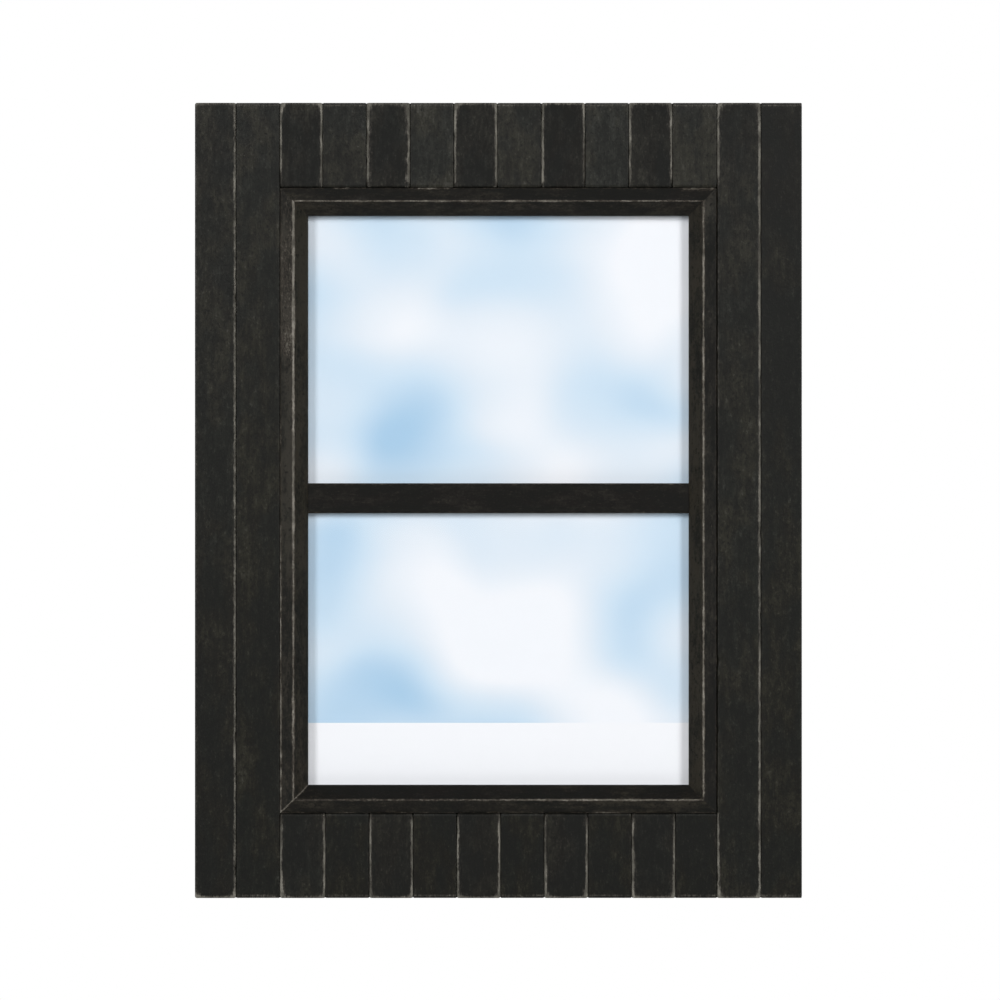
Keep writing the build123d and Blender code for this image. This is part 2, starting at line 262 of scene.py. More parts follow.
# a closed block of small faces, cut at these places on its three sides
def lattice(cuts, turned=False):
    shape = [len(c) for c in cuts]
    outer = np.zeros(shape, bool)
    outer[[0, -1]] = outer[:, [0, -1]] = outer[:, :, [0, -1]] = True
    ids = np.full(shape, -1)
    ids[outer] = np.arange(outer.sum())
    flat = np.stack(np.meshgrid(*cuts, indexing="ij"), -1)[outer]
    quads = []
    for axis in range(3):
        for end in (0, -1):
            face = np.take(ids, end, axis)
            quad = np.stack([face[:-1, :-1], face[1:, :-1], face[1:, 1:], face[:-1, 1:]], -1).reshape(-1, 4)
            back = ((end == 0) != (axis == 1)) != turned
            quads.append(quad[:, ::-1] if back else quad)
    return flat, np.concatenate(quads)


# ease the arrises: the outer rows of the lattice go onto an ellipsoid's quarter
def easeArrises(flat, lowest, highest, ease):
    core = np.clip(flat, lowest, highest)
    away = (flat - core) / ease
    most = np.abs(away).max(1)
    length = np.maximum(np.linalg.norm(away, axis=1), 1e-9)
    return core + away * (most / length)[:, None] * ease


grainSpread = 400.0  # mm: each piece takes its grain from another place


# a board with eased front arrises, nicks and rubbed paint
def makeBoard(node, look, rng, lengthwise=2):
    lo, hi = (np.array(corner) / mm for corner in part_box(node))
    crosswise = 2 - lengthwise
    middle, size = (lo + hi) / 2, hi - lo
    half = np.array([size[crosswise] / 2, size[1], size[lengthwise] / 2])
    ease = np.array(look["ease"])
    past, further, rows = look["deepCuts"]
    toBack = np.linspace(ease[1] * further, half[1], rows)
    deep = np.concatenate([ease[1] * np.append(easeCuts, past), toBack])
    stepAcross, stepAlong = look["step"]
    cuts = [cutsAlong(half[0], ease[0], stepAcross), deep, cutsAlong(half[2], ease[2], stepAlong)]
    flat, quads = lattice(cuts, lengthwise == 0)
    lowest = np.array([ease[0] - half[0], ease[1], ease[2] - half[2]])
    highest = np.array([half[0] - ease[0], half[1], half[2] - ease[2]])
    points = easeArrises(flat, lowest, highest, ease)
    square = look["square"]
    points += (flat - points) * np.clip(flat[:, 1:2] / ease[1] - 1, 0, square) / square
    # how far each front arris is rubbed, and the nicks in it
    across, depth, along = flat.T
    face = depth < flush
    bare = np.zeros(len(flat))
    inward = np.zeros((len(flat), 3))
    sides = {
        "left": (across + half[0], along, ease[0], (1, 1, 0)),
        "right": (half[0] - across, along, ease[0], (-1, 1, 0)),
        "bottom": (along + half[2], across, ease[2], (0, 1, 1)),
        "top": (half[2] - along, across, ease[2], (0, 1, -1)),
    }
    for side, (fromEdge, run, rounded, way) in sides.items():
        strength = look["rub"].get(side, 0.0)
        atCorner = np.exp((np.abs(run) - np.abs(run).max()) / look["cornerRun"])  # corners wear first
        width = look["rubWidth"] * waves(run, look["widthWaves"], rng) * (1 + look["flare"] * atCorner)
        level = strength * waves(run, look["levelWaves"], rng) * (1 + look["cornerRub"] * atCorner)
        for where, start, stop, share in look["fade"]:
            if where == side:
                part = np.clip(np.minimum(run - start, stop - run) / look["fadeRun"] + 0.5, 0, 1)
                level = level * (1 + (share - 1) * part * part * (3 - 2 * part))
        whole = look["whole"]
        apart = np.hypot(np.maximum(0, fromEdge - whole * rounded), np.maximum(0, depth - whole * ease[1]))
        bare = np.maximum(bare, level * band(apart, width))
        if side in look["endLine"]:
            lineAt, lineLevel = look["endLine"][side]
            faint = lineLevel * waves(run, look["lineWaves"], rng) * face
            bare = np.maximum(bare, faint * band(np.abs(fromEdge - lineAt), look["lineWidth"], crown=1.4))
        count = rng.poisson((run.max() - run.min()) * look["nicks"]) if strength > look["nickFrom"] else 0
        nickAt = rng.uniform(run.min(), run.max(), count)
        nickWide = rng.uniform(*look["nickWide"], count)
        nickDeep = rng.uniform(*look["nickDeep"], count)
        for spot, wide, sunk in zip(nickAt, nickWide, nickDeep):
            far = ((run - spot) / wide) ** 2 + (apart / look["nickReach"]) ** 2
            inward += np.array(way) * (sunk * np.exp(-far))[:, None]
    inward += np.array([0, look["rubDepth"], 0]) * np.clip(bare, 0, 1)[:, None]
    # a planed face is never quite flat
    ripple, swell, drift = look["waveSizes"]
    wave = wobble(across, ripple, rng) * wobble(along, swell, rng)
    wave = wave + look["driftShare"] * wobble(along, drift, rng)
    fromSides = np.minimum(half[0] - np.abs(across), half[2] - np.abs(along))
    inward[:, 1] += face * look["wave"] * (1 + wave) * np.clip(fromSides / look["waveEdge"], 0, 1)
    points += inward
    grain = points + rng.uniform(-grainSpread, grainSpread, 3)
    world = np.empty_like(points)
    world[:, crosswise] = middle[crosswise] + points[:, 0]
    world[:, 1] = lo[1] + points[:, 1]
    world[:, lengthwise] = middle[lengthwise] + points[:, 2]
    matt = look["matt"] + look["endMatt"] * (np.abs(along) > half[2] - look["endPart"] * ease[2])
    # tone shift: random from board to board, plus painted sheen and painted shade where a board or a stretch
    # of it is set lighter or darker
    coat = np.full(len(bare), look["coat"] + rng.uniform(-look["coatSpread"], look["coatSpread"]))
    for start, stop, shift in look["coatAndShadeRuns"]:
        coat += shift * stretch(along, start, stop, look["coatAndShadeFade"])
    marks = {"grain": grain, "bare": bare, "matt": matt, "coat": coat}
    addPiece("board_" + node, world, quads, node, paints[look["slot"]], marks)


# what all boards share: lengths in mm, rub 0 for whole paint to 1 for bare wood
boardLook = {
    "slot": "painted_plank_wood",
    "step": (1.6, 1.5),  # mesh, across and along
    "deepCuts": (1.6, 2.4, 3),  # behind the arris, then rows to the back
    "square": 3.0,  # arrises deep before a side is square again
    "matt": 0.0,
    "endMatt": 0.3,  # ends cut across the grain stay dull
    "endPart": 0.2,
    "coat": 0.0,
    "coatSpread": 0.015,  # from board to board
    "coatAndShadeRuns": [],  # stretches painted lighter for a painted sheen and darker for a painted shade: from, to, by how much
    "coatAndShadeFade": 24.0,
    "whole": 0.3,  # this part of the rounding is all arris
    "widthWaves": (1.0, (9.0, 0.22), (3.1, 0.16)),
    "levelWaves": (1.0, (34.0, 0.2), (7.0, 0.22)),
    "flare": 0.0,
    "cornerRub": 0.0,
    "cornerRun": 2.2,
    "fade": [],  # stretches of an arris that are rubbed less: side, from, to, what is left
    "fadeRun": 4.0,
    "endLine": {},  # a faint sanded line inside a square-cut end: how far in, how bare
    "lineWidth": 0.35,
    "lineWaves": (0.85, (6.0, 0.25)),
    "nickFrom": 0.6,  # arrises rubbed less than this have no nicks
    "nickWide": (0.8, 2.2),
    "nickDeep": (0.1, 0.32),
    "nickReach": 1.1,
    "rubDepth": 0.1,
    "wave": 0.06,
    "waveSizes": (5.0, 38.0, 16.0),
    "waveEdge": 2.0,
    "driftShare": 0.6,
}
proudPlank = {
    **boardLook,
    "ease": (0.95, 0.85, 1.0),
    "matt": 0.03,
    "rub": {"left": 0.78, "right": 0.78, "top": 0.42, "bottom": 0.42},
    "rubWidth": 0.95,
    "flare": 1.2,
    "cornerRub": 0.7,
    "nicks": 0.035,  # to the mm
}
lowPlank = {
    **boardLook,
    "ease": (0.4, 0.45, 1.2),
    "coat": 0.01,
    "rub": {"left": 0.15, "right": 0.15, "top": 0.3, "bottom": 0.3},
    "rubWidth": 0.5,
    "flare": 0.6,
    "nicks": 0.02,
    "endLine": {"top": (1.35, 0.5), "bottom": (1.35, 0.44)},
}
# boards and stretches set lighter here are painted sheen, those set darker are painted shade, where the
# light falls more or less
plankOwn = {
    "plank_left_outer": {
        "rub": {"left": 0.2, "right": 0.62, "top": 0.4, "bottom": 0.5},
        "fade": [("right", -190.0, -4.0, 0.86)],
        "coatAndShadeRuns": [(-34.0, 140.0, 0.022), (-220.0, -24.0, -0.026)],
    },
    "plank_left_inner": {"coatAndShadeRuns": [(110.0, 220.0, 0.016), (-130.0, -28.0, -0.02)]},
    "plank_right_inner": {
        "rub": {"left": 0.8, "right": 1.0, "top": 0.42, "bottom": 0.42},
        "fade": [("left", 0.0, 145.0, 0.3), ("left", -141.0, 0.0, 0.1), ("right", -190.0, 0.0, 0.74)],
        "coatAndShadeRuns": [(140.0, 220.0, -0.03), (-58.0, 24.0, 0.016)],
    },
    "plank_right_outer": {"coat": -0.012, "coatAndShadeRuns": [(10.0, 220.0, -0.034), (112.0, 220.0, -0.05)]},
    "plank_top_1": {"fade": [("left", -40.0, -11.0, 0.3)]},
    "plank_top_2": {"coatAndShadeRuns": [(-60.0, 6.0, -0.045)]},
    "plank_top_3": {
        "rub": {"left": 0.95, "right": 0.95, "top": 0.42, "bottom": 0.42},
        "rubWidth": 1.25,
        "coatAndShadeRuns": [(-60.0, 6.0, -0.03)],
    },
    "plank_top_4": {"coatAndShadeRuns": [(-60.0, 4.0, 0.015)]},
    "plank_top_5": {"coat": -0.026},
    "plank_top_6": {"coat": -0.026},
    "plank_top_7": {"rub": {"left": 0.8, "right": 0.66, "top": 0.42, "bottom": 0.42}, "coat": -0.055},
    "plank_top_9": {"rub": {"left": 0.78, "right": 0.7, "top": 0.42, "bottom": 0.42}, "coat": -0.025},
    "plank_bottom_1": {"coat": 0.01},
    "plank_bottom_2": {"coat": 0.02, "coatAndShadeRuns": [(0.0, 60.0, 0.02)]},
    "plank_bottom_3": {"coat": -0.036},
    "plank_bottom_5": {"coat": -0.025},
    "plank_bottom_7": {"coat": -0.012},
    "plank_bottom_10": {"coat": -0.006},
}
# the short planks: nobody rubs the ends that stand against the sash, and the lower row is rubbed less
# the upper row's low boards are painted lighter, a painted sheen; its proud boards and the whole lower row
# are painted darker, a painted shade
shortRows = {
    "plank_top": {"sashEnd": "bottom", "fade": (-40.0, -16.0, 0.3), "sideRub": {}, "coat": (-0.02, 0.03)},
    "plank_bottom": {
        "sashEnd": "top",
        "fade": (16.0, 40.0, 0.3),
        "sideRub": {"left": 0.7, "right": 0.7},
        "coat": (-0.025, -0.036),  # proud and low boards
    },
}
shortLook = {"endRub": 0.1, "proudMatt": 0.08, "coatAndShadeFade": 12.0}
proudFront = -15.5  # mm: fronts beyond this belong to proud planks
rng = np.random.default_rng(41)
plankNames = sorted(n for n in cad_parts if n.startswith("plank_"))
for node in plankNames:
    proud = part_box(node)[0].y < proudFront * mm
    look = {**(proudPlank if proud else lowPlank), **plankOwn.get(node, {})}
    row = shortRows.get(node.rsplit("_", 1)[0])
    if row:
        look["rub"] = {**look["rub"], row["sashEnd"]: shortLook["endRub"]}
        look["fade"] = look["fade"] + [(side, *row["fade"]) for side in ("left", "right")]
        look["endLine"] = {side: line for side, line in look["endLine"].items() if side != row["sashEnd"]}
        look["coat"] += row["coat"][0 if proud else 1]
        look["coatAndShadeFade"] = shortLook["coatAndShadeFade"]
        if proud:
            look["matt"] += shortLook["proudMatt"]
            look["rub"].update(row["sideRub"])
    makeBoard(node, look, rng)
print("planks shaped:", len(plankNames))

muntinLook = {
    **boardLook,
    "slot": "painted_sash_wood",
    "ease": (1.0, 1.0, 0.04),
    "step": (1.3, 1.5),
    "matt": 0.18,
    # painted shade: the cross bar's paint is set darker for the bar sitting in shadow
    "coat": -0.07,
    "rub": {"left": 0.2, "right": 0.25},
    "rubWidth": 0.6,
    "nicks": 0.02,
    "wave": 0.05,
}
makeBoard("muntin", muntinLook, rng, lengthwise=0)
print("cross bar shaped")


# what the sash rails share, in mm
sashLook = {
    "slot": "painted_sash_wood",
    # the section's corners: from the outer edge inwards, from the carrier forwards, how much rounded
    "corners": [(0.0, 0.0, 0.0), (0.0, 6.3, 0.5), (6.1, 8.6, 1.0), (12.5, 3.4, 0.5), (12.5, 0.0, 0.0)],
    "roundPoints": 7,
    "sectionStep": 1.1,
    "besideArris": (0.3, 0.6),  # closer rows beside the arrises
    "step": 1.3,
    "mitreRun": 5.0,  # rows slant into the mitre over this length
    "backTop": 0.5,  # the part against the carrier
    "edgeTop": 3.0,  # the slopes lie in front of this
    "matt": 0.1,
    "coatAndShadeFade": 14.0,
    "ridgeLevel": (1.0, (22.0, 0.16), (5.0, 0.15)),
    "ridgeWaves": (1.0, (8.0, 0.25), (2.4, 0.15)),
    "ridgeEnds": (0.7, 0.6, 9.0),  # at the mitre, how far from it, over how far it grows whole
    "ridgeFadeRun": 12.0,
    "rimIn": 0.15,
    "rimWidth": 0.7,
    "rimLevel": (0.8, (6.0, 0.5)),
    "spotLevel": (1.1, (2.6, 0.35), (9.0, 0.15)),
    "spotFade": 3.0,
    "patchLong": 2.2,  # times longer than wide
    "mitreWidth": 0.8,
    "mitreLevel": (0.9, (2.5, 0.35)),
    "uneven": 0.05,
    "unevenWave": 24.0,
    "nicks": 0.03,  # to the mm
    "nickLong": (0.8, 1.8),
    "nickDeep": (0.12, 0.4),
    "nickReach": 1.3,
    "rubDepth": 0.1,
    "mitreFlat": 3.0,  # no unevenness at the mitres
}
# each rail's wear, painted light and painted shade, by x or z in the object's own frame
# rimSpots: from, to, how bare, width; patches: where, from the outer edge, size, how bare; ridgeFade: from,
# to, share left; coat runs, partly painted sheen and shade: from, to, outer slope, inner slope; mitre: how
# bare at the low and the high end
sashOwn = {
    "sash_left": {
        "inward": (1, 0, 0),
        "ridge": 0.82,
        "ridgeWidth": 0.75,
        "slopeLightShade": (0.05, 0.05),
        "rim": 0.3,
        "rimSpots": [(-300, -168, 0.45, 0.8), (-303, -238, 0.6, 0.9)],
        "ridgeFade": [(-330, -165, 0.74), (-102, -44, 1.06)],
        "coatAndShadeRuns": [
            (-330, -190, -0.05, -0.03), (-190, -95, 0.02, 0.0),
            (-92, -20, 0.0, 0.04), (-34, -8, -0.07, 0.0),
        ],
        "patches": [(-86.7, 4.0, 6.0, 0.44), (-56.0, 2.4, 25.0, 0.26)],
        "mitre": (0.62, 0.12),
    },
    "sash_right": {
        "inward": (-1, 0, 0),
        "ridge": 0.67,
        "ridgeWidth": 0.68,
        "slopeLightShade": (-0.03, 0.04),
        "rim": 0.22,
        "rimSpots": [],
        "ridgeFade": [(-136, -88, 0.84), (-330, -276, 0.8)],
        "coatAndShadeRuns": [
            (-330, -226, -0.05, 0.0), (-120, -76, -0.04, 0.0),
            (-208, -176, 0.0, 0.05), (-44, -14, 0.08, 0.0),
        ],
        "patches": [],
        "mitre": (0.15, 0.12),
    },
    "sash_top": {
        "inward": (0, 0, -1),
        "ridge": 0.6,
        "ridgeWidth": 0.54,
        "slopeLightShade": (-0.06, -0.02),
        "rim": 0.2,
        "rimSpots": [(81, 99, 0.46, 1.5), (-77, -60, 0.34, 0.8), (-38, -20, 0.42, 0.8)],
        "ridgeFade": [(31, 120, 0.82), (-120, -72, 0.88)],
        "coatAndShadeRuns": [(34, 100, -0.04, 0.0), (-73, -32, -0.03, 0.0)],
        "patches": [],
        "mitre": (0.12, 0.15),
    },
    "sash_bottom": {
        "inward": (0, 0, 1),
        "ridge": 0.53,
        "ridgeWidth": 0.62,
        "slopeLightShade": (-0.03, -0.09),
        "rim": 0.25,
        "rimSpots": [(39, 57, 0.43, 1.0)],
        "ridgeFade": [(-130, 14, 0.8), (34, 78, 1.14)],
        "coatAndShadeRuns": [(-76, 5, -0.02, -0.04), (16, 100, 0.03, 0.0), (46, 76, 0.0, 0.06)],
        "patches": [],
        "mitre": (0.62, 0.15),
    },
}


# the section's outline as points, its corners rounded and its long sides cut up
def roundedSection(look):
    corners = look["corners"]
    line = []
    for k, (u, h, radius) in enumerate(corners):
        here = np.array([u, h])
        back = np.array(corners[k - 1][:2]) - here
        on = np.array(corners[(k + 1) % len(corners)][:2]) - here
        back, on = back / np.linalg.norm(back), on / np.linalg.norm(on)
        if radius:
            turn = math.acos(np.dot(back, on))
            reach = radius / math.tan(turn / 2)
            centre = here + (back + on) / np.linalg.norm(back + on) * radius / math.sin(turn / 2)
            start, stop = here + back * reach - centre, here + on * reach - centre
            for part in np.linspace(0, 1, look["roundPoints"]):
                spoke = start * (1 - part) + stop * part
                line.append(centre + spoke / np.linalg.norm(spoke) * radius)
        else:
            line.append(here)
    full = []
    for k, here in enumerate(line):
        after = line[(k + 1) % len(line)]
        gap = np.linalg.norm(after - here)
        parts = max(1, round(gap / look["sectionStep"]))
        spread = np.linspace(0, 1, parts + 1)[:-1]
        if parts > 3:  # long sides only
            beside = np.array(look["besideArris"]) / gap
            spread = np.sort(np.concatenate([spread, beside, 1 - beside]))
        full += [here + (after - here) * s for s in spread]
    return np.array(full)


# a mitred rail with a rubbed ridge, worn spots on its rim and nicks
def makeSashRail(node, look, rng):
    lo, hi = (np.array(corner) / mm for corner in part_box(node))
    inwards = np.array(look["inward"], float)
    ahead = np.array([0.0, -1.0, 0.0])
    runs = np.cross(inwards, ahead)
    axis = int(np.argmax(np.abs(runs)))
    acrossAxis = 2 - axis
    half = (hi[axis] - lo[axis]) / 2
    middle = (lo + hi) / 2
    origin = middle.copy()
    origin[1] = hi[1]
    origin[acrossAxis] = lo[acrossAxis] if inwards[acrossAxis] > 0 else hi[acrossAxis]
    section = roundedSection(look)
    rows = np.linspace(-half, half, round(2 * half / look["step"]) + 1)
    u, h = (np.tile(section[:, k], len(rows)) for k in (0, 1))
    along = np.repeat(rows, len(section))
    plain = half - section[:, 0].max() - look["mitreRun"]
    squeeze = np.clip((np.abs(along) - plain) / (half - plain), 0, 1)
    along = np.sign(along) * (np.minimum(np.abs(along), plain) + squeeze * (half - u - plain))
    place = along * runs[axis] + middle[axis]
    endGap = half - u - np.abs(along)
    rimTop, ridgeAt = look["corners"][1][1], look["corners"][2][0]
    outerSlope, front = u < ridgeAt, h > look["edgeTop"]
    fromRidge = np.where(h < flush, np.inf, np.abs(u - ridgeAt))  # the back has no ridge
    fromRim = np.hypot(np.maximum(0, u - look["rimIn"]), np.maximum(0, rimTop - look["rimIn"] - h))
    # the ridge is rubbed nearly all along and dies away a little before the corners
    level = look["ridge"] * waves(place, look["ridgeLevel"], rng)
    width = look["ridgeWidth"] * waves(place, look["ridgeWaves"], rng)
    least, fromMitre, grows = look["ridgeEnds"]
    level = level * np.clip(least + (endGap - fromMitre) / grows, 0, 1)
    for start, stop, share in look["ridgeFade"]:
        level = level * (1 + (share - 1) * stretch(place, start, stop, look["ridgeFadeRun"]))
    bare = level * band(fromRidge, width)
    level = look["rim"] * waves(place, look["rimLevel"], rng)
    bare = np.maximum(bare, level * band(fromRim, look["rimWidth"]))
    for start, stop, strength, width in look["rimSpots"]:
        inside = stretch(place, start, stop, look["spotFade"])
        level = inside * strength * waves(place, look["spotLevel"], rng)
        bare = np.maximum(bare, level * band(fromRim, width))
    for spot, spotU, size, strength in look["patches"]:
        far = np.hypot((place - spot) / look["patchLong"], u - spotU)
        bare = np.maximum(bare, strength * band(far, size, crown=1.2) * front * outerSlope)
    for strength, sign in zip(look["mitre"], (-1, 1)):
        own = np.sign(along * runs[axis]) == sign
        faint = strength * waves(u, look["mitreLevel"], rng)
        line = band(endGap, look["mitreWidth"], crown=1.2)
        bare = np.maximum(bare, own * faint * line * (h > look["backTop"]))
    # nicks and a little unevenness, always into the wood and never at the mitres
    sink = look["uneven"] * (1 + wobble(along, look["unevenWave"], rng))
    count = rng.poisson(2 * half * look["nicks"])
    nickAt = rng.uniform(-half, half, count)
    nickLong = rng.uniform(*look["nickLong"], count)
    nickDeep = rng.uniform(*look["nickDeep"], count)
    for spot, size, sunk in zip(nickAt, nickLong, nickDeep):
        sink = sink + sunk * np.exp(-((along - spot) / size) ** 2 - (fromRidge / look["nickReach"]) ** 2)
    sink = (sink + look["rubDepth"] * bare) * np.clip(endGap / look["mitreFlat"], 0, 1)
    h = np.maximum(h - np.where(front, sink, 0), 0)
    points = origin + np.outer(u, inwards) + np.outer(h, ahead) + np.outer(along, runs)
    ring = len(section)
    first = np.arange(len(rows) - 1)[:, None] * ring + np.arange(ring)
    after = np.arange(len(rows) - 1)[:, None] * ring + (np.arange(ring) + 1) % ring
    quads = np.stack([first, after, after + ring, first + ring], -1).reshape(-1, 4)
    caps = [list(range(ring))[::-1], list(range((len(rows) - 1) * ring, len(rows) * ring))]
    grain = np.stack([u, h, along], -1) + rng.uniform(-grainSpread, grainSpread, 3)
    # each slope is set lighter or darker by which way it faces: painted light and painted shade
    coat = np.where(outerSlope, *look["slopeLightShade"])
    for start, stop, outer, inner in look["coatAndShadeRuns"]:
        coat = coat + stretch(place, start, stop, look["coatAndShadeFade"]) * np.where(outerSlope, outer, inner)
    marks = {"grain": grain, "bare": bare, "matt": np.full(len(bare), look["matt"]), "coat": coat}
    faces = list(quads) + caps
    addPiece("rail_" + node, points, faces, node, paints[look["slot"]], marks)


for node, own in sashOwn.items():
    makeSashRail(node, {**sashLook, **own}, rng)
print("sash rails shaped:", len(sashOwn))


# a thin sheet in its pocket, with its edges taken off
def makeSheet(node, look, material, rng):
    lo, hi = (np.array(corner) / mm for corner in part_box(node))
    before, behind = look["room"]
    lo[1] += before
    hi[1] -= behind
    half = (hi - lo) / 2
    ease, step = look["ease"], look["step"]
    eased = ease * np.array([0, 0.5, 1])
    thick = np.unique(np.concatenate([eased - half[1], half[1] - eased]))
    flat, quads = lattice([cutsAlong(half[0], ease, step), thick, cutsAlong(half[2], ease, step)])
    points = easeArrises(flat, ease - half, half - ease, np.array([ease] * 3))
    across, along = look["curlWaves"]
    points[:, 1] += look["curl"] * wobble(points[:, 0], across, rng) * wobble(points[:, 2], along, rng)
    addPiece("sheet_" + node, points + (lo + hi) / 2, quads, node, material)


def dress(nodes, material):
    for node in nodes:
        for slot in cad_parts[node].material_slots:
            slot.material = material


# fibreboard, sprayed matt black: fine orange peel, dusty grey bloom, pale scuffs from handling, no grain
fibreboardLook = {
    "peel": (0.9, 0.9, 0.9),  # mm
    "bloom": (24.0, 24.0, 24.0),
    "scuff": (16.0, 16.0, 1.6),
    "noise": {
        "peel": {"Scale": 1.0, "Detail": 3.0},
        "bloom": {"Scale": 1.0, "Detail": 5.0},
        "scuff": {"Scale": 1.0, "Detail": 3.0, "Distortion": 2.5},
    },
    "shares": (0.3, 0.7),  # peel and bloom
    "tones": [(0.35, "#131312"), (0.65, "#2a2a28")],
    "scuffs": {"From Min": 0.61, "From Max": 0.74, "To Max": 0.6},
    "scuffed": "#3d3c39",
    "roughness": {"From Min": 0.3, "From Max": 0.7, "To Min": 0.62, "To Max": 0.8},
    "bump": {"Strength": 0.4, "Distance": 0.15 * mm},
    "gloss": {"IOR": 1.5},
}
material, tree = newMaterial("sprayed_fibreboard")
coords = addNode(tree, "TexCoord")
mark = {}
for key, noise in fibreboardLook["noise"].items():
    divide = {"operation": "DIVIDE", 1: [size * mm for size in fibreboardLook[key]]}
    scaled = addNode(tree, "VectorMath", divide, {0: coords.outputs["Object"]})
    mark[key] = addNode(tree, "TexNoise", noise, {"Vector": scaled})
peelShare, bloomShare = fibreboardLook["shares"]
tone = addNode(tree, "Math", {"operation": "MULTIPLY", 1: peelShare}, {0: mark["peel"]})
tone = addNode(tree, "Math", {"operation": "MULTIPLY_ADD", 1: bloomShare}, {0: mark["bloom"], 2: tone})
sprayed = addNode(tree, "ValToRGB", {"stops": fibreboardLook["tones"]}, {"Fac": tone})
scuffs = addNode(tree, "MapRange", fibreboardLook["scuffs"], {"Value": mark["scuff"]})
scuffed = {"data_type": "RGBA", "B": linear(fibreboardLook["scuffed"])}
colour = addNode(tree, "Mix", scuffed, {"Factor": scuffs, "A": sprayed})
rough = addNode(tree, "MapRange", fibreboardLook["roughness"], {"Value": tone})
bump = addNode(tree, "Bump", fibreboardLook["bump"], {"Height": mark["peel"]})
links = {"Base Color": colour, "Roughness": rough, "Normal": bump}
shader = addNode(tree, "BsdfPrincipled", fibreboardLook["gloss"], links)
addNode(tree, "OutputMaterial", (), {"Surface": shader})
dress([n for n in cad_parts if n.startswith(("carrier_rail", "carrier_stile"))], material)

# hardboard, pressed on a wire screen: brown felted fibres with darker flecks, the screen's small squares all
# over, and pale arcs where the turn buttons have scraped round
hardboardLook = {
    "fibre": 0.6,  # mm; real fibres are finer, drawn coarser so that they show
    "fleck": 1.7,
    "cloud": 34.0,
    "noise": {
        "fibre": {"Detail": 4.0, "Distortion": 1.2},
        "fleck": {"Detail": 4.0},
        "cloud": {"Detail": 4.0},
    },
    "shares": {"fibre": 0.42, "fleck": 0.38, "cloud": 0.20},
    "screen": 1.8,
    "screenShare": -0.018,
    "screenRelief": 0.3,
    "tones": [(0.34, "#4a3120"), (0.50, "#6e4b31"), (0.66, "#8f6a48")],
    "scraped": "#a98561",
    "pivots": (96.5, 67.8, 32.0),  # middle to screws: sideways, up to a board's middle, on from there
    "arcs": (8.5, 16.5),
    "arcEdges": (2.0, 2.5),
    "arcLines": (0.5, 14.0, 14.0),  # fine rings, broken along their way
    "arcNoise": {"Scale": 1.0, "Detail": 2.0},
    "arcLevel": {"From Min": 0.52, "From Max": 0.66, "To Max": 0.75},
    "roughness": {"From Min": 0.35, "From Max": 0.65, "To Min": 0.46, "To Max": 0.66},
    "bump": {"Strength": 0.4, "Distance": 0.15 * mm},
    "gloss": {"IOR": 1.5},
}
material, tree = newMaterial("screen_back_hardboard")
coords = addNode(tree, "TexCoord")
split = addNode(tree, "SeparateXYZ", (), {0: coords.outputs["Object"]})
mark = {}
tone = None
for key, share in hardboardLook["shares"].items():
    noise = {"Scale": 1 / (hardboardLook[key] * mm), **hardboardLook["noise"][key]}
    mark[key] = addNode(tree, "TexNoise", noise, {"Vector": coords.outputs["Object"]})
    links = {0: mark[key], 2: tone} if tone else {0: mark[key]}
    tone = addNode(tree, "Math", {"operation": "MULTIPLY_ADD", 1: share, 2: 0.0}, links)
# the screen: two sets of ridges crossing
anglePerMetre = 2 * math.pi / (hardboardLook["screen"] * mm)
ridges = []
for axis in ("X", "Z"):
    angle = addNode(tree, "Math", {"operation": "MULTIPLY", 1: anglePerMetre}, {0: split.outputs[axis]})
    ridges.append(addNode(tree, "Math", {"operation": "SINE"}, {0: angle}))
screen = addNode(tree, "Math", {"operation": "MAXIMUM"}, {0: ridges[0], 1: ridges[1]})
share = hardboardLook["screenShare"]
tone = addNode(tree, "Math", {"operation": "MULTIPLY_ADD", 1: share}, {0: screen, 2: tone})
# distance to the nearest screw, by folding the board onto itself
toSide, toBoard, toScrew = (length * mm for length in hardboardLook["pivots"])
sideways = addNode(tree, "Math", {"operation": "ABSOLUTE"}, {0: split.outputs["X"]})
sideways = addNode(tree, "Math", {"operation": "SUBTRACT", 1: toSide}, {0: sideways})
upward = addNode(tree, "Math", {"operation": "SUBTRACT", 1: frameMiddle.z}, {0: split.outputs["Z"]})
for length in (toBoard, toScrew):
    upward = addNode(tree, "Math", {"operation": "ABSOLUTE"}, {0: upward})
    upward = addNode(tree, "Math", {"operation": "SUBTRACT", 1: length}, {0: upward})
flat = addNode(tree, "CombineXYZ", (), {0: sideways, 1: upward})
reach = addNode(tree, "VectorMath", {"operation": "LENGTH"}, {0: flat})
ringed = addNode(tree, "CombineXYZ", (), {0: reach, 1: split.outputs["X"], 2: split.outputs["Z"]})
divide = {"operation": "DIVIDE", 1: [size * mm for size in hardboardLook["arcLines"]]}
ringed = addNode(tree, "VectorMath", divide, {0: ringed})
rings = addNode(tree, "TexNoise", hardboardLook["arcNoise"], {"Vector": ringed})
scrape = addNode(tree, "MapRange", hardboardLook["arcLevel"], {"Value": rings})
near, far = (length * mm for length in hardboardLook["arcs"])
nearEdge, farEdge = (length * mm for length in hardboardLook["arcEdges"])
inside = addNode(tree, "MapRange", {"From Min": near, "From Max": near + nearEdge}, {"Value": reach})
fading = {"From Min": far - farEdge, "From Max": far, "To Min": 1.0, "To Max": 0.0}
outside = addNode(tree, "MapRange", fading, {"Value": reach})
for limit in (inside, outside):
    scrape = addNode(tree, "Math", {"operation": "MULTIPLY"}, {0: scrape, 1: limit})
pressed = addNode(tree, "ValToRGB", {"stops": hardboardLook["tones"]}, {"Fac": tone})
scraped = {"data_type": "RGBA", "B": linear(hardboardLook["scraped"])}
colour = addNode(tree, "Mix", scraped, {"Factor": scrape, "A": pressed})
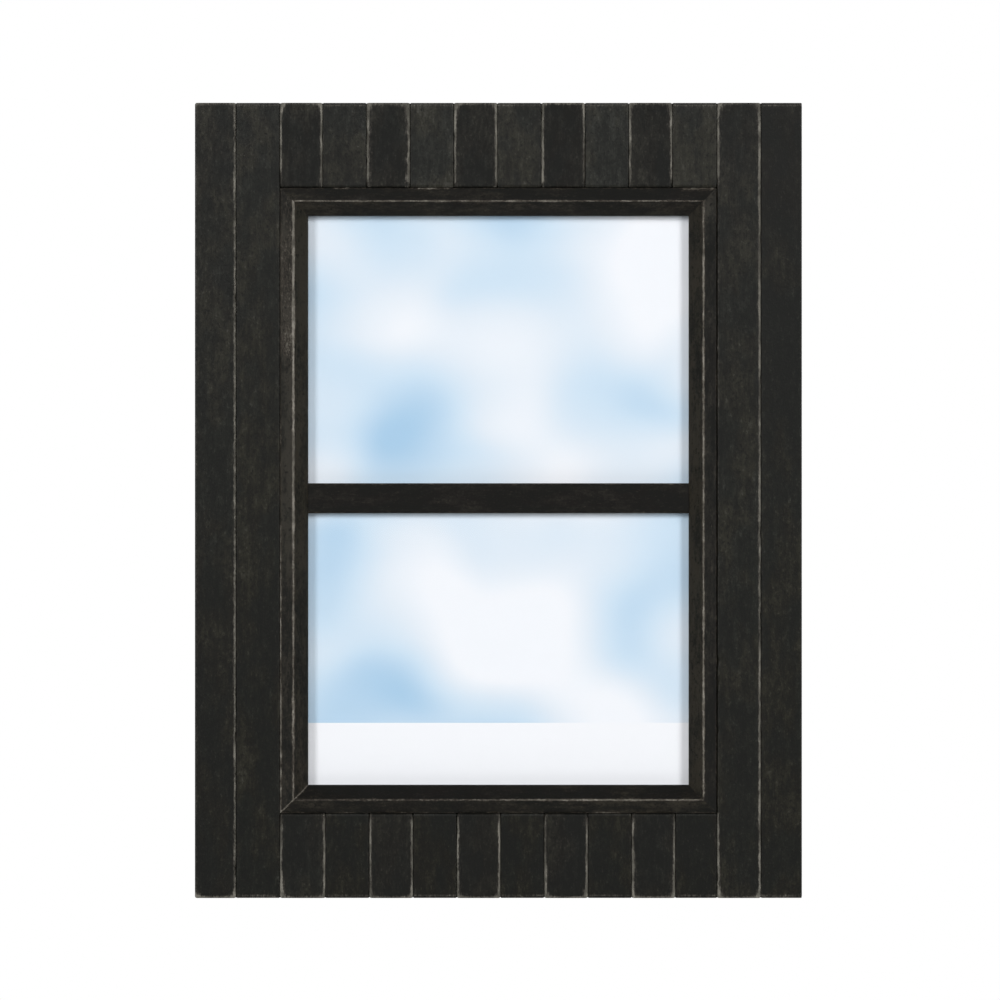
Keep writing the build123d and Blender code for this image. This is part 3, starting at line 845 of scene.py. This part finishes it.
rough = addNode(tree, "MapRange", hardboardLook["roughness"], {"Value": tone})
share = hardboardLook["screenRelief"]
relief = addNode(tree, "Math", {"operation": "MULTIPLY_ADD", 1: share}, {0: screen, 2: mark["fibre"]})
bump = addNode(tree, "Bump", hardboardLook["bump"], {"Height": relief})
links = {"Base Color": colour, "Roughness": rough, "Normal": bump}
shader = addNode(tree, "BsdfPrincipled", hardboardLook["gloss"], links)
addNode(tree, "OutputMaterial", (), {"Surface": shader})
dress(["backing_board_upper", "backing_board_lower"], material)

# mild steel, barrel-plated with bright zinc: blue-grey, cloudy, with fine tumbling scuffs
zincLook = {
    "scuff": (0.25, 0.25, 2.2),  # mm
    "scuffNoise": {"Scale": 1.0, "Detail": 4.0},
    "cloudNoise": {"Scale": 1 / (5.0 * mm), "Detail": 4.0},
    "shares": (0.4, 0.6),  # scuff and cloud
    "tones": [(0.35, "#b4b8ba"), (0.55, "#c9cccc"), (0.75, "#dcdad2")],
    "roughness": {"From Min": 0.3, "From Max": 0.7, "To Min": 0.30, "To Max": 0.46},
    "bump": {"Strength": 0.15, "Distance": 0.05 * mm},
}
material, tree = newMaterial("bright_zinc_plate")
coords = addNode(tree, "TexCoord")
divide = {"operation": "DIVIDE", 1: [size * mm for size in zincLook["scuff"]]}
scaled = addNode(tree, "VectorMath", divide, {0: coords.outputs["Object"]})
scuff = addNode(tree, "TexNoise", zincLook["scuffNoise"], {"Vector": scaled})
cloud = addNode(tree, "TexNoise", zincLook["cloudNoise"], {"Vector": coords.outputs["Object"]})
scuffShare, cloudShare = zincLook["shares"]
tone = addNode(tree, "Math", {"operation": "MULTIPLY", 1: scuffShare}, {0: scuff})
tone = addNode(tree, "Math", {"operation": "MULTIPLY_ADD", 1: cloudShare}, {0: cloud, 2: tone})
colour = addNode(tree, "ValToRGB", {"stops": zincLook["tones"]}, {"Fac": tone})
rough = addNode(tree, "MapRange", zincLook["roughness"], {"Value": tone})
bump = addNode(tree, "Bump", zincLook["bump"], {"Height": scuff})
links = {"Base Color": colour, "Roughness": rough, "Normal": bump}
shader = addNode(tree, "BsdfPrincipled", {"Metallic": 1.0}, links)
addNode(tree, "OutputMaterial", (), {"Surface": shader})
steelStarts = ("turn_button", "hanger", "carrier_staples", "sash_v_nails", "muntin_pins")
dress([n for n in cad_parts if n.startswith(steelStarts)], material)

# nitrile rubber, moulded: dull black with a chalky bloom
rubberLook = {
    "grainNoise": {"Scale": 1 / (0.35 * mm), "Detail": 2.0},
    "bloomNoise": {"Scale": 1 / (3.0 * mm), "Detail": 3.0},
    "tones": [(0.35, "#141414"), (0.7, "#2a2a29")],
    "roughness": {"From Min": 0.3, "From Max": 0.7, "To Min": 0.7, "To Max": 0.9},
    "bump": {"Strength": 0.4, "Distance": 0.1 * mm},
    "gloss": {"IOR": 1.52},
}
material, tree = newMaterial("moulded_rubber")
coords = addNode(tree, "TexCoord")
fine = addNode(tree, "TexNoise", rubberLook["grainNoise"], {"Vector": coords.outputs["Object"]})
bloom = addNode(tree, "TexNoise", rubberLook["bloomNoise"], {"Vector": coords.outputs["Object"]})
colour = addNode(tree, "ValToRGB", {"stops": rubberLook["tones"]}, {"Fac": bloom})
rough = addNode(tree, "MapRange", rubberLook["roughness"], {"Value": bloom})
bump = addNode(tree, "Bump", rubberLook["bump"], {"Height": fine})
links = {"Base Color": colour, "Roughness": rough, "Normal": bump}
shader = addNode(tree, "BsdfPrincipled", rubberLook["gloss"], links)
addNode(tree, "OutputMaterial", (), {"Surface": shader})
dress(["wall_bumpers"], material)

# float glass, 2 mm: clear, mirrors a little at grazing angles, faint smears in its gloss
glassLook = {
    "slot": "pane_glass",
    "room": (0.0, 0.0),
    "ease": 0.25,
    "step": 6.0,
    "curl": 0.0,
    "curlWaves": (70.0, 60.0),
    "smearNoise": {"Scale": 1 / (35.0 * mm), "Detail": 4.0},
    "roughness": {"From Min": 0.3, "From Max": 0.7, "To Min": 0.02, "To Max": 0.07},
    "clear": "#fefefe",
    "gloss": {"IOR": 1.52},
}
material, tree = newMaterial("float_glass")
coords = addNode(tree, "TexCoord")
smear = addNode(tree, "TexNoise", glassLook["smearNoise"], {"Vector": coords.outputs["Object"]})
rough = addNode(tree, "MapRange", glassLook["roughness"], {"Value": smear})
clear = addNode(tree, "BsdfTransparent", {"Color": linear(glassLook["clear"])})
gloss = addNode(tree, "BsdfGlossy", {"Color": linear("#ffffff")}, {"Roughness": rough})
mirror = addNode(tree, "Fresnel", glassLook["gloss"])
surface = addNode(tree, "NewGeometry")
leaving = {"Factor": surface.outputs["Backfacing"], "A": mirror}  # only the way in mirrors
mirror = addNode(tree, "Mix", {"data_type": "FLOAT", "B": 0.0}, leaving)
shader = addNode(tree, "MixShader", (), {0: mirror, 1: clear, 2: gloss})
addNode(tree, "OutputMaterial", (), {"Surface": shader})
for node in ("glass_upper", "glass_lower"):
    makeSheet(node, glassLook, material, rng)

# coated paper, offset printed: a soft sky of our own drawing, with a plain white strip at the foot of the
# lower sheet, under an even silky sheen
paperLook = {
    "slot": "printed_paper",
    "room": (0.07, 0.02),  # mm left free before and behind the sheet, so that it shows through the glass
    "ease": 0.03,
    "step": 6.0,
    "curl": 0.02,
    "curlWaves": (70.0, 60.0),
    "cloud": (88.0, 1.0, 66.0),  # mm
    "puff": (44.0, 1.0, 36.0),
    "shares": (0.65, 0.35),  # cloud and puff
    "skyNoise": {"noise_dimensions": "4D", "W": 7.2, "Scale": 1.0, "Detail": 0.0, "Distortion": 0.3},
    "sky": [(0.33, "#a3c6e1"), (0.43, "#c7dbeb"), (0.53, "#dce5ee"), (0.62, "#ebeef3")],
    "strip": "#edeff3",
    "stripTop": -259.0,
    "toothNoise": {"Scale": 1 / (0.35 * mm), "Detail": 2.0},  # real tooth is finer, drawn coarser to show
    "roughness": {"From Min": 0.3, "From Max": 0.7, "To Min": 0.42, "To Max": 0.55},
    "bump": {"Strength": 0.08, "Distance": 0.03 * mm},
    "gloss": {"IOR": 1.48},
}
material, tree = newMaterial("coated_paper")
coords = addNode(tree, "TexCoord")
mark = {}
for key in ("cloud", "puff"):
    divide = {"operation": "DIVIDE", 1: [size * mm for size in paperLook[key]]}
    scaled = addNode(tree, "VectorMath", divide, {0: coords.outputs["Object"]})
    mark[key] = addNode(tree, "TexNoise", paperLook["skyNoise"], {"Vector": scaled})
cloudShare, puffShare = paperLook["shares"]
tone = addNode(tree, "Math", {"operation": "MULTIPLY", 1: cloudShare}, {0: mark["cloud"]})
tone = addNode(tree, "Math", {"operation": "MULTIPLY_ADD", 1: puffShare}, {0: mark["puff"], 2: tone})
sky = addNode(tree, "ValToRGB", {"stops": paperLook["sky"]}, {"Fac": tone})
split = addNode(tree, "SeparateXYZ", (), {0: coords.outputs["Object"]})
below = {"operation": "LESS_THAN", 1: paperLook["stripTop"] * mm}
inStrip = addNode(tree, "Math", below, {0: split.outputs["Z"]})
strip = {"data_type": "RGBA", "B": linear(paperLook["strip"])}
colour = addNode(tree, "Mix", strip, {"Factor": inStrip, "A": sky})
tooth = addNode(tree, "TexNoise", paperLook["toothNoise"], {"Vector": coords.outputs["Object"]})
rough = addNode(tree, "MapRange", paperLook["roughness"], {"Value": tooth})
bump = addNode(tree, "Bump", paperLook["bump"], {"Height": tooth})
links = {"Base Color": colour, "Roughness": rough, "Normal": bump}
shader = addNode(tree, "BsdfPrincipled", paperLook["gloss"], links)
addNode(tree, "OutputMaterial", (), {"Surface": shader})
for node in ("insert_upper", "insert_lower"):
    makeSheet(node, paperLook, material, rng)
print("glass, paper, boards and fittings dressed")

# stage: a pale floor well under the hanging frame, in metres, fading out before it reaches the picture
floorLook = {"drop": 0.45, "radius": 1.3, "fade": 0.75, "rings": 13, "spokes": 96, "tone": "#e9e8e6"}
floorMiddle = (frameMiddle.x, frameMiddle.y, cadBox[0].z - floorLook["drop"])
count = floorLook["spokes"]
spots = [floorMiddle]
for far in np.linspace(0, floorLook["radius"], floorLook["rings"] + 1)[1:]:
    for turn in np.linspace(0, 2 * math.pi, count, endpoint=False):
        aside, ahead = far * math.cos(turn), far * math.sin(turn)
        spots.append((floorMiddle[0] + aside, floorMiddle[1] + ahead, floorMiddle[2]))
faces = [(0, 1 + k, 1 + (k + 1) % count) for k in range(count)]
for ring in range(floorLook["rings"] - 1):
    base = 1 + ring * count
    for k in range(count):
        after = (k + 1) % count
        faces.append((base + k, base + count + k, base + count + after, base + after))
floorMesh = bpy.data.meshes.new("floor")
floorMesh.from_pydata(spots, [], faces)
material, tree = newMaterial("pale_floor")
coords = addNode(tree, "TexCoord")
subtract = {"operation": "SUBTRACT", 1: floorMiddle}
shifted = addNode(tree, "VectorMath", subtract, {0: coords.outputs["Object"]})
far = addNode(tree, "VectorMath", {"operation": "LENGTH"}, {0: shifted})
edge = {"From Min": floorLook["fade"], "From Max": floorLook["radius"], "interpolation_type": "SMOOTHSTEP"}
fade = addNode(tree, "MapRange", edge, {"Value": far})
matt = addNode(tree, "BsdfDiffuse", {"Color": linear(floorLook["tone"])})
none = addNode(tree, "BsdfTransparent")
shader = addNode(tree, "MixShader", (), {0: fade, 1: matt, 2: none})
addNode(tree, "OutputMaterial", (), {"Surface": shader})
floorMesh.materials.append(material)
floor = bpy.data.objects.new("floor", floorMesh)
bpy.context.scene.collection.objects.link(floor)

# studio light: a broad box overhead in front, two boxes each side, and a pair from behind for the back
lightLook = {
    "key": {"turn": 0.0, "rise": 24.0, "far": 3.2, "size": (0.95, 1.05), "watts": 31.0},
    "left": {"turn": -36.0, "rise": 10.5, "far": 2.4, "size": (0.68, 1.0), "watts": 25.0},
    "right": {"turn": 36.0, "rise": 10.5, "far": 2.4, "size": (0.68, 1.0), "watts": 28.0},
    "sideLeft": {"turn": -112.0, "rise": 8.0, "far": 2.2, "size": (0.7, 1.2), "watts": 10.0},
    "sideRight": {"turn": 112.0, "rise": 8.0, "far": 2.2, "size": (0.7, 1.2), "watts": 10.0},
    "backLeft": {"turn": 150.0, "rise": 20.0, "far": 2.0, "size": (1.1, 1.3), "watts": 21.0},
    "backRight": {"turn": 212.0, "rise": 26.0, "far": 2.0, "size": (1.1, 1.3), "watts": 18.0},
}
for name, look in lightLook.items():
    data = bpy.data.lights.new(name, "AREA")
    data.shape = "RECTANGLE"
    data.size, data.size_y = look["size"]
    data.energy = look["watts"]
    lamp = bpy.data.objects.new(name, data)
    turn, rise = math.radians(look["turn"]), math.radians(look["rise"])
    aim = Vector((math.sin(turn) * math.cos(rise), -math.cos(turn) * math.cos(rise), math.sin(rise)))
    lamp.location = frameMiddle + aim * look["far"]
    lamp.rotation_euler = aim.to_track_quat("Z", "Y").to_euler()
    lamp.visible_camera = False
    bpy.context.scene.collection.objects.link(lamp)

# white room for the eye, dim room for the light
roomLook = {"seen": 1.0, "light": 0.06}
world = bpy.data.worlds.new("room")
world.use_nodes = True
tree = world.node_tree
tree.nodes.clear()
path = addNode(tree, "LightPath")
levels = {"To Min": roomLook["light"], "To Max": roomLook["seen"]}
level = addNode(tree, "MapRange", levels, {"Value": path.outputs["Is Camera Ray"]})
room = addNode(tree, "Background", {"Color": linear("#ffffff")}, {"Strength": level})
addNode(tree, "OutputWorld", (), {"Surface": room})
bpy.context.scene.world = world
bpy.context.scene.view_settings.view_transform = "Standard"

# camera: square on, far enough away that the sides don't show
cameraLook = {"lens": 200.0, "sensor": 36.0, "spanMm": 449.1, "asideMm": 0.7, "riseMm": 0.2}
lens = bpy.data.cameras.new("camera")
lens.lens = cameraLook["lens"]
lens.sensor_width = cameraLook["sensor"]
camera = bpy.data.objects.new("camera", lens)
away = cameraLook["spanMm"] * mm * cameraLook["lens"] / cameraLook["sensor"]
camera.location = (cameraLook["asideMm"] * mm, cadBox[0].y - away, frameMiddle.z + cameraLook["riseMm"] * mm)
camera.rotation_euler = (math.radians(90), 0, 0)
bpy.context.scene.collection.objects.link(camera)
bpy.context.scene.camera = camera
print("stage, lights and camera set")
